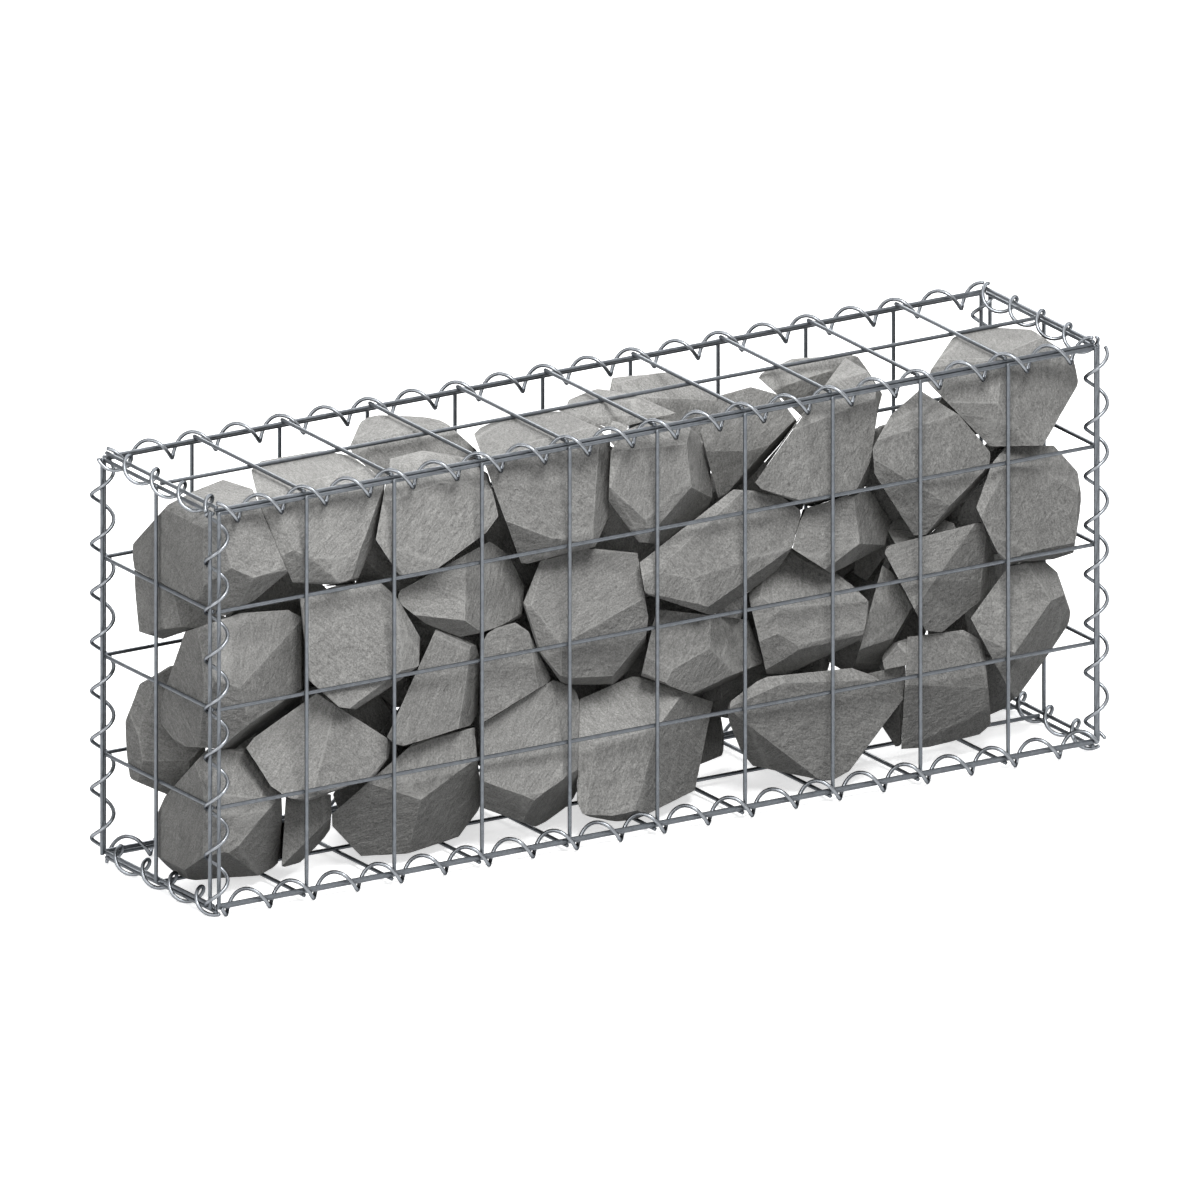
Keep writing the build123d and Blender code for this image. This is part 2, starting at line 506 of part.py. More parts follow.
# Stones by course and place, as the nodes hold them
STONE_GROUPS = {
    "top_stones_left": ["stone_01", "stone_02", "stone_03"],
    "top_stones_centre": ["stone_04", "stone_05", "stone_06"],
    "top_stones_right": ["stone_07", "stone_08", "stone_09"],
    "upper_stones_left": ["stone_10", "stone_12", "stone_13"],
    "upper_stones_centre": ["stone_14", "stone_15"],
    "upper_stones_right": ["stone_16", "stone_17", "stone_18"],
    "middle_stones_left": ["stone_11", "stone_19", "stone_20"],
    "middle_stones_centre": ["stone_21", "stone_22"],
    "middle_stones_right": ["stone_23", "stone_24"],
    "bottom_stones_left": ["stone_25", "stone_26", "stone_27", "stone_28"],
    "bottom_stones_centre": ["stone_29", "stone_30", "stone_31"],
    "bottom_stones_right": ["stone_32", "stone_33", "stone_34", "stone_39"],
    "crest_stones": ["stone_35", "stone_36", "stone_37", "stone_38"],
    "rear_top_stones_left": ["rear_01", "rear_02"],
    "rear_top_stones_centre": ["rear_03", "rear_04"],
    "rear_top_stones_right": ["rear_05", "rear_06", "rear_07"],
    "rear_upper_stones_left": ["rear_09", "rear_10", "rear_11"],
    "rear_upper_stones_centre": ["rear_12", "rear_13"],
    "rear_upper_stones_right": ["rear_14", "rear_15"],
    "rear_middle_stones_left": ["rear_17", "rear_16"],
    "rear_middle_stones_right": ["rear_08", "rear_19"],
    "rear_bottom_stones_left": ["rear_20", "rear_21"],
    "rear_bottom_stones_right": ["rear_18", "rear_22"],
}

laid_stones = []
stones = {}
for stone_name, stone_look in STONES.items():
    stones[stone_name] = lay_stone(stone_shape(*stone_look), laid_stones)
for rear_name, (front_name, shift) in REAR_STONES.items():
    rear_shape = turned_shape(stone_shape(*STONES[front_name]), shift)
    stones[rear_name] = lay_stone(rear_shape, laid_stones)

for group_name, members in STONE_GROUPS.items():
    group = Compound(children=[stones[member].solid() for member in members], label=group_name)
    export_step(group, f"parts/{group_name}.step")
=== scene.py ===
import bmesh
import bpy
import math
import numpy as np
from mathutils import Matrix, Vector, noise
from mathutils.bvhtree import BVHTree


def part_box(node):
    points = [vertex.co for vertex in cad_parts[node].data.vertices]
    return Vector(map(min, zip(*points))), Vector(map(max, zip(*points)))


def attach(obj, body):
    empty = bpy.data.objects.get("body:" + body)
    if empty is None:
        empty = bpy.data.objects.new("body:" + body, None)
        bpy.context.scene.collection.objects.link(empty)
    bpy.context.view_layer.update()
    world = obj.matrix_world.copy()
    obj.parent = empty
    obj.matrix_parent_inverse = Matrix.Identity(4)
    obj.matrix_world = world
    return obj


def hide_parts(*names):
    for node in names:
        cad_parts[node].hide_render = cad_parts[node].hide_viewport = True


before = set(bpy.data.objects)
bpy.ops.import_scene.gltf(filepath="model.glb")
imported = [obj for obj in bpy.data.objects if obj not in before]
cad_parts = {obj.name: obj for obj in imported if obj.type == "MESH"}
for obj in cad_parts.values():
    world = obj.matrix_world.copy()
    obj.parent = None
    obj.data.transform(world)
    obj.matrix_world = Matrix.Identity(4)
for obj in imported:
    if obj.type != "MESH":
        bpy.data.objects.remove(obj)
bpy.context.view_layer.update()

# Basket sizes in metres, as in the CAD model, apart from the thicker round spiral wire
MESH = 0.1
CELLS = (10, 2, 4)
WIRE = 0.004
FLATS = WIRE * math.cos(math.pi / 6)
WELD_SINK = 0.00025
LAYER = FLATS - WELD_SINK
SEAT = 0.0003
INSET = LAYER + (WIRE + SEAT) / math.sqrt(2)
STUB = 0.0025
INNER_STUB = WIRE / math.sqrt(2) - FLATS / 2
SPIRAL_WIRE = 0.0034
ROUND_SPIRAL_WIRE = 0.0038
SPIRAL_OUTER = 0.025
SPIRAL_STEPS = 6
COIL = (SPIRAL_OUTER - SPIRAL_WIRE) / 2
PITCH = 0.05
BEND = 2 * math.pi / SPIRAL_STEPS
MITRE = SPIRAL_WIRE / 2 / math.cos(BEND / 2)
LEAN = FLATS / 2 + SEAT + MITRE
CROSS_LEAN = LEAN + COIL * (1 - math.cos(BEND)) * SPIRAL_STEPS / PITCH * WIRE / 4
FOOT = CROSS_LEAN + SPIRAL_WIRE / 2
END_X, END_Y, HALF_Z = (cells * MESH / 2 + INSET for cells in CELLS)
MIDDLE = FOOT + HALF_Z
TOP = FOOT + 2 * HALF_Z

# The photograph's parallel view
PHOTO_MIDDLE = 600
PIXELS_PER_METRE = 1029.6
AZIMUTH = math.radians(-31.606)
ELEVATION = math.radians(17.885)
AIM_DROP = 0.0005
AIM = Vector((0, 0, MIDDLE - AIM_DROP))
RIGHT = Vector((math.cos(AZIMUTH), math.sin(AZIMUTH), 0))
BACK = Vector((RIGHT.y, -RIGHT.x, 0)) * math.cos(ELEVATION) + Vector((0, 0, math.sin(ELEVATION)))
UP = BACK.cross(RIGHT)


# Materials

def new_material(name):
    material = bpy.data.materials.new(name)
    material.use_nodes = True
    tree = material.node_tree
    return material, tree, tree.nodes["Principled BSDF"]


def grey(value):
    return (value, value, value)


def attribute_node(tree, name, output):
    node = tree.nodes.new("ShaderNodeAttribute")
    node.attribute_name = name
    return node.outputs[output]


def noise_node(tree, vector, scale, detail, roughness=0.6, distortion=0.0):
    node = tree.nodes.new("ShaderNodeTexNoise")
    node.inputs["Scale"].default_value = scale
    node.inputs["Detail"].default_value = detail
    node.inputs["Roughness"].default_value = roughness
    node.inputs["Distortion"].default_value = distortion
    tree.links.new(vector, node.inputs["Vector"])
    return node.outputs["Fac"]


def ramp_node(tree, factor, low, high):
    """A colour that runs from one stop to another."""
    node = tree.nodes.new("ShaderNodeValToRGB")
    for element, (position, colour) in zip(node.color_ramp.elements, (low, high)):
        element.position = position
        element.color = (*colour, 1)
    tree.links.new(factor, node.inputs["Fac"])
    return node.outputs["Color"]


def mix_node(tree, mode, factor, a, b):
    node = tree.nodes.new("ShaderNodeMix")
    node.data_type = "RGBA"
    node.blend_type = mode
    node.clamp_factor = True
    if isinstance(factor, float):
        node.inputs["Factor"].default_value = factor
    else:
        tree.links.new(factor, node.inputs["Factor"])
    tree.links.new(a, node.inputs["A"])
    tree.links.new(b, node.inputs["B"])
    return node.outputs["Result"]


def math_node(tree, operation, a, b):
    node = tree.nodes.new("ShaderNodeMath")
    node.operation = operation
    tree.links.new(a, node.inputs[0])
    tree.links.new(b, node.inputs[1])
    return node.outputs[0]


def bump_node(tree, height, strength, distance, below=None):
    node = tree.nodes.new("ShaderNodeBump")
    node.inputs["Strength"].default_value = strength
    node.inputs["Distance"].default_value = distance
    tree.links.new(height, node.inputs["Height"])
    if below is not None:
        tree.links.new(below, node.inputs["Normal"])
    return node.outputs["Normal"]


def galvanised(name, tone, roughness, metal, edge):
    """Zinc-coated wire: blue-grey, with a soft spangle, and darker where it is seen edge-on."""
    material, tree, shader = new_material(name)
    place = tree.nodes.new("ShaderNodeTexCoord").outputs["Object"]
    spangle = noise_node(tree, place, 160, 3)
    specks = noise_node(tree, place, 900, 2)
    low = tuple(c * 0.82 for c in tone)
    high = tuple(c * 1.16 for c in tone)
    colour = ramp_node(tree, spangle, (0.3, low), (0.7, high))
    grain = ramp_node(tree, specks, (0.25, grey(0.86)), (0.75, grey(1.0)))
    tree.links.new(mix_node(tree, "MULTIPLY", 1.0, colour, grain), shader.inputs["Base Color"])
    smooth, dull = grey(roughness - 0.07), grey(roughness + 0.08)
    rough = ramp_node(tree, specks, (0.3, smooth), (0.7, dull))
    tree.links.new(rough, shader.inputs["Roughness"])
    shader.inputs["Metallic"].default_value = metal
    shader.inputs["Specular Tint"].default_value = (edge, edge, edge, 1)
    tree.links.new(bump_node(tree, specks, 0.25, 0.0002), shader.inputs["Normal"])
    return material


def broken_stone():
    """Grey broken stone: sandy grain, streaks that run their own way on each facet, and edges painted
    paler, partly as wear and partly as a painted highlight.
    """
    material, tree, shader = new_material("broken_stone")
    place = attribute_node(tree, "grain_place", "Vector")
    tone = attribute_node(tree, "stone_tone", "Color")
    wear_and_highlight = attribute_node(tree, "edge_wear_and_highlight", "Fac")
    stretch = tree.nodes.new("ShaderNodeMapping")
    stretch.inputs["Scale"].default_value = (0.24, 1.0, 1.0)
    tree.links.new(place, stretch.inputs["Vector"])
    streaks = stretch.outputs["Vector"]
    clouds = noise_node(tree, place, 24, 5, 0.62)
    chips = noise_node(tree, place, 62, 4, 0.55, 0.9)
    lines = noise_node(tree, streaks, 320, 4, 0.65, 0.4)
    sand = noise_node(tree, place, 560, 3, 0.75)
    pits = noise_node(tree, place, 150, 3, 0.55)
    base = ramp_node(tree, clouds, (0.30, (0.232, 0.230, 0.222)), (0.70, (0.300, 0.297, 0.287)))
    streak = ramp_node(tree, lines, (0.30, grey(0.68)), (0.62, grey(1.05)))
    grit = ramp_node(tree, sand, (0.30, grey(0.50)), (0.70, grey(1.34)))
    pit = ramp_node(tree, pits, (0.24, grey(0.62)), (0.36, grey(1.0)))
    colour = mix_node(tree, "MULTIPLY", 0.75, base, streak)
    colour = mix_node(tree, "MULTIPLY", 0.9, colour, grit)
    colour = mix_node(tree, "MULTIPLY", 0.8, colour, pit)
    colour = mix_node(tree, "MULTIPLY", 1.0, colour, tone)
    # Paler colour painted along the edges: partly edge wear, partly a painted highlight where the edges
    # would catch the light.
    pale = ramp_node(tree, clouds, (0.0, (0.34, 0.337, 0.325)), (1.0, (0.40, 0.397, 0.385)))
    rim = ramp_node(tree, wear_and_highlight, (0.66, grey(0.0)), (1.0, grey(1.0)))
    worn_and_highlit = math_node(tree, "MULTIPLY", rim, sand)
    colour = mix_node(tree, "MIX", worn_and_highlit, colour, pale)
    tree.links.new(colour, shader.inputs["Base Color"])
    rough = ramp_node(tree, sand, (0.2, grey(0.78)), (0.8, grey(0.96)))
    tree.links.new(rough, shader.inputs["Roughness"])
    shader.inputs["Specular IOR Level"].default_value = 0.25
    fine = bump_node(tree, sand, 0.6, 0.0009)
    ridges = bump_node(tree, lines, 0.6, 0.0016, fine)
    pitted = bump_node(tree, pits, 0.45, 0.0022, ridges)
    tree.links.new(bump_node(tree, chips, 0.5, 0.0045, pitted), shader.inputs["Normal"])
    return material


MESH_ZINC = galvanised("galvanised_mesh_wire", (0.128, 0.139, 0.153), 0.38, 0.8, 0.8)
SPIRAL_ZINC = galvanised("galvanised_spiral_wire", (0.215, 0.227, 0.243), 0.32, 1.0, 0.1)
STONE = broken_stone()


# Pieces

CUT_LIP = 0.25
SMOOTH_ANGLE = math.radians(50)
MESH_SIDES = 16
ROUND_SPIRAL_SIDES = 12
ROUND_SPIRAL_STEPS = 28


def add_piece(name, node, mesh, material):
    """Add a mesh to the wall, in place of a CAD node if one is named."""
    mesh.materials.append(material)
    piece = bpy.data.objects.new(name, mesh)
    bpy.context.scene.collection.objects.link(piece)
    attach(piece, "root")
    if node:
        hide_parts(node)


def tube(points, spokes, radius, sides, vertices, faces):
    """Add a round wire along points, with slightly rounded cut ends."""
    points = np.asarray(points, float)
    spokes = np.asarray(spokes, float)
    tangents = np.gradient(points, axis=0)
    tangents /= np.linalg.norm(tangents, axis=1)[:, None]
    spokes = spokes - (spokes * tangents).sum(1)[:, None] * tangents
    spokes /= np.linalg.norm(spokes, axis=1)[:, None]
    sides_way = np.cross(tangents, spokes)
    lip = radius * CUT_LIP
    rings = [(points[0], spokes[0], sides_way[0], radius - lip)]
    rings.append((points[0] + tangents[0] * lip, spokes[0], sides_way[0], radius))
    rings += [(p, s, w, radius) for p, s, w in zip(points[1:-1], spokes[1:-1], sides_way[1:-1])]
    rings.append((points[-1] - tangents[-1] * lip, spokes[-1], sides_way[-1], radius))
    rings.append((points[-1], spokes[-1], sides_way[-1], radius - lip))
    first = len(vertices)
    angles = np.arange(sides) * 2 * math.pi / sides
    for centre, spoke, way, size in rings:
        ring = centre + size * (np.cos(angles)[:, None] * spoke + np.sin(angles)[:, None] * way)
        vertices.extend(ring.tolist())
    for i in range(len(rings) - 1):
        for j in range(sides):
            k = (j + 1) % sides
            low, high = first + i * sides, first + (i + 1) * sides
            faces.append((low + j, low + k, high + k, high + j))
    last = first + (len(rings) - 1) * sides
    faces.append(tuple(first + j for j in reversed(range(sides))))
    faces.append(tuple(last + j for j in range(sides)))


def smooth_mesh(name, vertices, faces):
    mesh = bpy.data.meshes.new(name)
    mesh.from_pydata(vertices, [], faces)
    mesh.shade_smooth()
    mesh.set_sharp_from_angle(angle=SMOOTH_ANGLE)
    return mesh


# Mesh panels: outer wires along the panel's up direction, inner wires along its across direction

def mesh_wires(node, centre, across, out, cells_across, cells_up):
    """Add a welded panel around the centre of its outer wires, facing out."""
    centre, across, out = Vector(centre), Vector(across), Vector(out)
    up = out.cross(across)
    width, height = cells_across * MESH, cells_up * MESH
    vertices, faces = [], []
    for i in range(cells_across + 1):
        foot = centre + across * (i * MESH - width / 2)
        ends = [foot - up * (height / 2 + STUB), foot + up * (height / 2 + STUB)]
        tube([ends[0], *(foot + up * (k * MESH - height / 2) for k in range(cells_up + 1)), ends[1]],
             [out] * (cells_up + 3), WIRE / 2, MESH_SIDES, vertices, faces)
    for i in range(cells_up + 1):
        foot = centre - out * LAYER + up * (i * MESH - height / 2)
        ends = [foot - across * (width / 2 + INNER_STUB), foot + across * (width / 2 + INNER_STUB)]
        tube([ends[0], *(foot + across * (k * MESH - width / 2) for k in range(cells_across + 1)), ends[1]],
             [out] * (cells_across + 3), WIRE / 2, MESH_SIDES, vertices, faces)
    name = node + "_wires"
    add_piece(name, node, smooth_mesh(name, vertices, faces), MESH_ZINC)


mesh_wires("front_mesh", (0, -END_Y, MIDDLE), (1, 0, 0), (0, -1, 0), CELLS[0], CELLS[2])
mesh_wires("back_mesh", (0, END_Y, MIDDLE), (-1, 0, 0), (0, 1, 0), CELLS[0], CELLS[2])
mesh_wires("left_end_mesh", (-END_X, 0, MIDDLE), (0, -1, 0), (-1, 0, 0), CELLS[1], CELLS[2])
mesh_wires("right_end_mesh", (END_X, 0, MIDDLE), (0, 1, 0), (1, 0, 0), CELLS[1], CELLS[2])
mesh_wires("lid_mesh", (0, 0, TOP), (1, 0, 0), (0, 0, 1), CELLS[0], CELLS[1])
mesh_wires("bottom_mesh", (0, 0, FOOT), (-1, 0, 0), (0, 0, -1), CELLS[0], CELLS[1])


# Spiral binders

def spiral_wire(node, start, axis, bearing, lead_share, cells):
    """Add a right-handed spiral that crosses its bearing side a share of a pitch after each station."""
    start, axis, side = Vector(start), Vector(axis), Vector(bearing).normalized()
    across = axis.cross(side)
    run = cells * MESH
    steps = round(run / PITCH * ROUND_SPIRAL_STEPS)
    points, spokes = [], []
    for i in range(steps + 1):
        travel = run * i / steps
        turn = 2 * math.pi * (travel / PITCH - lead_share)
        spoke = side * math.cos(turn) + across * math.sin(turn)
        points.append(start + axis * travel + spoke * COIL)
        spokes.append(spoke)
    vertices, faces = [], []
    tube(points, spokes, ROUND_SPIRAL_WIRE / 2, ROUND_SPIRAL_SIDES, vertices, faces)
    name = node + "_wire"
    add_piece(name, node, smooth_mesh(name, vertices, faces), SPIRAL_ZINC)


FIRST_X, FIRST_Y, FIRST_Z = INSET - END_X, INSET - END_Y, FOOT + INSET
OVER = COIL - CROSS_LEAN
LOW, HIGH = FOOT + OVER, TOP - OVER
PAIR = (INSET + LAYER) / 2
UPRIGHT = (COIL - WIRE / 2 - SEAT - MITRE) / math.sqrt(2)
NEAR = INSET - UPRIGHT
X, Y, Z, DOWN = (1, 0, 0), (0, 1, 0), (0, 0, 1), (0, 0, -1)

spiral_wire("spiral_front_top", (FIRST_X, PAIR - END_Y, HIGH), X, Z, 0, CELLS[0])
spiral_wire("spiral_back_top", (FIRST_X, END_Y - PAIR, HIGH), X, Z, 0, CELLS[0])
spiral_wire("spiral_front_bottom", (FIRST_X, OVER - END_Y, LOW), X, (0, -1, 0), 0, CELLS[0])
spiral_wire("spiral_back_bottom", (FIRST_X, END_Y - PAIR, LOW), X, DOWN, 0, CELLS[0])
spiral_wire("spiral_left_top", (OVER - END_X, FIRST_Y, TOP - INSET / 2), Y, (-1, 0, 0), 0, CELLS[1])
spiral_wire("spiral_right_top", (END_X - INSET, FIRST_Y, HIGH), Y, Z, -0.07, CELLS[1])
spiral_wire("spiral_left_bottom", (INSET - END_X, FIRST_Y, LOW), Y, DOWN, 0.08, CELLS[1])
spiral_wire("spiral_right_bottom", (END_X - INSET, FIRST_Y, LOW), Y, DOWN, 0.13, CELLS[1])
spiral_wire("spiral_front_left", (UPRIGHT - END_X, NEAR - END_Y, FIRST_Z), Z, (-1, 1, 0), 0, CELLS[2])
spiral_wire("spiral_front_right", (END_X - UPRIGHT, NEAR - END_Y, FIRST_Z), Z, (1, 1, 0), 0.11, CELLS[2])
spiral_wire("spiral_back_left", (NEAR - END_X, END_Y - UPRIGHT, FIRST_Z), Z, (1, 1, 0), 0, CELLS[2])
spiral_wire("spiral_back_right", (END_X - UPRIGHT, END_Y - NEAR, FIRST_Z), Z, (1, -1, 0), 0, CELLS[2])


# Stones: each CAD stone gets chipped edges and is cut finer, and its facets get shallow hollows

FRONT_SWELL = 0.0002
REAR_SWELL = 0.0025
FRONT_CUT = 0.0045
REAR_CUT = 0.0085
CUT_ROUNDS = 8
FRONT_CHIPS = 8
REAR_CHIPS = 5
CHIP = 0.0022
CHIP_EDGE = 0.015
CHIP_ANGLES = (0.4, 1.9)
SEEDS_A_NODE = 5
EDGE_SOFT = 0.0002
EDGE_REACH = 0.012
# Width of the edge band that is painted paler, as wear and as a painted highlight
WEAR_AND_HIGHLIGHT_WIDTH = 0.0022
HOLLOW = 0.0008
HOLLOW_SCALE = 34.0
LEAST_FACING = 0.02
FAR = 9.0
SQUARE_ON = 1e-3
FLAT_ANGLE = 0.02
SAME_WAY = 0.9995
SAME_PLACE = 1e-5
LEAST_FACET = 1e-8
stone_nodes = sorted(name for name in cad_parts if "stones" in name)
FILL_LOW = np.min([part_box(name)[0] for name in stone_nodes], axis=0)
FILL_HIGH = np.max([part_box(name)[1] for name in stone_nodes], axis=0)


def islands(bm):
    """Connected groups of faces."""
    left = set(bm.faces)
    while left:
        group, queue = set(), [left.pop()]
        while queue:
            face = queue.pop()
            group.add(face)
            for edge in face.edges:
                for other in edge.link_faces:
                    if other in left:
                        left.remove(other)
                        queue.append(other)
        yield group


def fine_cut(bm, size):
    """Divide a stone's faces until no edge is longer than size."""
    bmesh.ops.triangulate(bm, faces=bm.faces[:])
    for _ in range(CUT_ROUNDS):
        long_edges = [edge for edge in bm.edges if edge.calc_length() > size]
        if not long_edges:
            break
        bmesh.ops.subdivide_edges(bm, edges=long_edges, cuts=1)
        bmesh.ops.triangulate(bm, faces=bm.faces[:])


def weathered(points, normals, offsets, centre, seed, most_swell):
    """Points of a convex stone moved onto its weathered facets, and how near each lies to an edge, where
    the material paints wear and a highlight.

    Facets square to a side of the basket, or to one of its edges, only go inward.
    """
    ways = points - centre
    ways /= np.linalg.norm(ways, axis=1)[:, None]
    facing = ways @ normals.T
    heights = offsets - normals @ centre
    swell = np.where(np.abs(normals).min(axis=1) < SQUARE_ON, 0.0, most_swell)
    reach = np.where(facing > LEAST_FACING, heights / np.maximum(facing, LEAST_FACING), FAR)
    nearest = reach.min(axis=1)
    close = reach < nearest[:, None] + EDGE_REACH
    for i, j in zip(*np.nonzero(close)):
        spot = Vector(points[i]) * HOLLOW_SCALE + Vector((seed * 7.3, j * 5.1, seed * 1.7))
        dent = noise.noise(spot) + 0.6 * noise.noise(spot * 3.1) + 0.2 * noise.noise(spot * 7.7)
        reach[i, j] += min(swell[j], 0.6 * swell[j] - HOLLOW * dent)
    nearest = reach.min(axis=1)
    share = np.exp((nearest[:, None] - reach) / EDGE_SOFT)
    distance = nearest - EDGE_SOFT * np.log(share.sum(axis=1))
    second = np.sort(reach, axis=1)[:, 1]
    # How near a point lies to an edge; the material paints that band paler, as edge wear and as a painted
    # highlight.
    wear_and_highlight = np.exp(-(second - nearest) / WEAR_AND_HIGHLIGHT_WIDTH)
    return np.clip(centre + ways * distance[:, None], FILL_LOW, FILL_HIGH), wear_and_highlight


def facet_grain(normal, turn):
    """Axes of a facet's grain: along it, across it and out of it."""
    normal = Vector(normal)
    along = normal.orthogonal().normalized()
    along.rotate(Matrix.Rotation(turn, 3, normal))
    return np.array([along, normal.cross(along), normal])


def crisp_edges(mesh, facets):
    """Mark the edges where two facets meet as sharp."""
    loop_edges = np.empty(len(mesh.loops), np.int32)
    mesh.loops.foreach_get("edge_index", loop_edges)
    loop_facets = np.repeat(facets, 3)
    lowest = np.full(len(mesh.edges), len(mesh.loops))
    highest = np.zeros(len(mesh.edges), int)
    np.minimum.at(lowest, loop_edges, loop_facets)
    np.maximum.at(highest, loop_edges, loop_facets)
    sharp = mesh.attributes.new("sharp_edge", "BOOLEAN", "EDGE")
    sharp.data.foreach_set("value", lowest != highest)


def cut_off(stone, point, way):
    """Remove what lies beyond a plane and close the stone with a flat facet."""
    everything = stone.verts[:] + stone.edges[:] + stone.faces[:]
    cut = bmesh.ops.bisect_plane(stone, geom=everything, plane_co=point, plane_no=way, clear_outer=True)
    rim = [part for part in cut["geom_cut"] if isinstance(part, bmesh.types.BMEdge)]
    if rim:
        bmesh.ops.edgeloop_fill(stone, edges=rim)


def breaks_off(edge):
    """Whether an edge is long enough, and neither too blunt nor too sharp, to be chipped."""
    bluntest, sharpest = CHIP_ANGLES
    return bluntest < edge.calc_face_angle(0) < sharpest and edge.calc_length() > CHIP_EDGE


def chip_edges(stone, seed, chips):
    """Break some of a stone's edges off in thin tapering facets."""
    stone.edges.index_update()
    edges = [edge for edge in stone.edges if breaks_off(edge)]
    edges.sort(key=lambda edge: math.sin(seed * 3.7 + edge.index * 12.9898))
    planes = []
    for number, edge in enumerate(edges[:chips]):
        first, last = (vertex.co for vertex in edge.verts)
        along = (last - first).normalized()
        out = sum((face.normal for face in edge.link_faces), Vector()).normalized()
        lean = 0.35 * math.sin(seed * 5.1 + number * 2.3)
        taper = 0.05 * math.sin(seed * 1.3 + number * 4.1)
        way = (out + out.cross(along) * lean + along * taper).normalized()
        share = 0.65 + 0.35 * math.sin(seed * 2.9 + number * 1.7)
        planes.append(((first + last) / 2 - way * CHIP * share, way))
    for point, way in planes:
        cut_off(stone, point, way)
    stone.normal_update()


def node_stones(node):
    """The stones of a CAD node, each a mesh of its own with whole facets."""
    bm = bmesh.new()
    bm.from_mesh(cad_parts[node].data)
    bmesh.ops.remove_doubles(bm, verts=bm.verts, dist=SAME_PLACE)
    bm.faces.index_update()
    stones = []
    groups = [sorted(group, key=lambda face: face.index) for group in islands(bm)]
    for group in sorted(groups, key=lambda faces: faces[0].index):
        stone = bmesh.new()
        copied = {}
        for face in group:
            for vertex in face.verts:
                if vertex not in copied:
                    copied[vertex] = stone.verts.new(vertex.co)
            stone.faces.new([copied[vertex] for vertex in face.verts])
        stone.normal_update()
        bmesh.ops.dissolve_limit(stone, angle_limit=FLAT_ANGLE, verts=stone.verts, edges=stone.edges)
        stone.normal_update()
        stones.append(stone)
    bm.free()
    return stones


def worn_mesh(name, stones, size, first_seed, swell):
    """One mesh of weathered stones, with the attributes that their material reads."""
    vertices, faces, places, tones, wear_and_highlights, all_facets = [], [], [], [], [], []
    facet_count = 0
    for seed, stone in enumerate(stones, first_seed):
        planes = []
        for face in sorted(stone.faces, key=lambda f: -f.calc_area()):
            if face.calc_area() > LEAST_FACET and all(face.normal.dot(n) < SAME_WAY for n, _ in planes):
                planes.append((face.normal.copy(), face.normal.dot(face.verts[0].co)))
        normals = np.array([n for n, _ in planes])
        offsets = np.array([d for _, d in planes])
        centre = np.mean([v.co for v in stone.verts], axis=0)
        fine_cut(stone, size)
        stone.verts.index_update()
        stone.normal_update()
        points = np.array([v.co for v in stone.verts])
        moved, wear_and_highlight = weathered(points, normals, offsets, centre, seed, swell)
        corners = np.array([[v.index for v in face.verts] for face in stone.faces])
        facets = np.argmax(np.array([face.normal for face in stone.faces]) @ normals.T, axis=1)
        grains = np.array([facet_grain(n, seed * 1.9 + k * 2.4) for k, n in enumerate(normals)])
        local = np.einsum("fij,fcj->fci", grains[facets], (moved - centre)[corners])
        places.append((local + seed * 0.37 + facets[:, None, None] * 0.11).reshape(-1, 3))
        all_facets.append(facets + facet_count)
        facet_count += len(normals)
        faces.extend((corners + len(vertices)).tolist())
        vertices.extend(moved.tolist())
        shade = 1 + 0.08 * math.sin(seed * 12.9898)
        tones.extend([shade] * len(moved))
        wear_and_highlights.extend(wear_and_highlight.tolist())
        stone.free()
    mesh = bpy.data.meshes.new(name)
    mesh.from_pydata(vertices, [], faces)
    mesh.shade_smooth()
    crisp_edges(mesh, np.concatenate(all_facets))
    grain_place = mesh.attributes.new("grain_place", "FLOAT_VECTOR", "CORNER")
    grain_place.data.foreach_set("vector", np.concatenate(places).ravel())
    mesh.attributes.new("stone_tone", "FLOAT", "POINT").data.foreach_set("value", tones)
    # Edge nearness, which the material paints paler as wear and as a painted highlight.
    mesh.attributes.new("edge_wear_and_highlight", "FLOAT", "POINT").data.foreach_set("value", wear_and_highlights)
    return mesh


def stone_fill(node, size, first_seed, swell, chips):
    """Add the chipped and weathered stones of a CAD node."""
    stones = node_stones(node)
    for seed, stone in enumerate(stones, first_seed):
        chip_edges(stone, seed, chips)
    name = node + "_rocks"
    add_piece(name, node, worn_mesh(name, stones, size, first_seed, swell), STONE)


for index, name in enumerate(stone_nodes):
    if name.startswith("rear"):
        stone_fill(name, REAR_CUT, index * SEEDS_A_NODE + 1, REAR_SWELL, REAR_CHIPS)
    else:
        stone_fill(name, FRONT_CUT, index * SEEDS_A_NODE + 1, FRONT_SWELL, FRONT_CHIPS)


# Small stones wedged in the cracks, each on the sight line of a pixel of the photograph

CRACKS = (
    (588, 420), (613, 440), (790, 433), (706, 455), (771, 456), (800, 506), (906, 528), (934, 531),
    (1030, 561), (852, 570), (342, 584), (727, 606), (904, 663), (389, 706), (245, 744), (281, 842),
)
SMALL_REACH = 0.022
SMALL_SIDES = 26
SMALL_CUT = 0.006
SMALL_SEED = 400
GOLDEN_ANGLE = 2.4
GAUGE_WAYS = 40
LEAST_GAP = 0.003
SIGHT_STEP = 0.002
SIGHT_STEPS = 200
FRONT_ROOM = 0.02


def stone_surfaces():
    """All stones of the CAD model as one tree for finding what lies nearest."""
    corners, faces = [], []
    for name in stone_nodes:
        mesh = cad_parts[name].data
        faces.extend([corner + len(corners) for corner in face.vertices] for face in mesh.polygons)
        corners.extend(vertex.co.copy() for vertex in mesh.vertices)
    return BVHTree.FromPolygons(corners, faces)


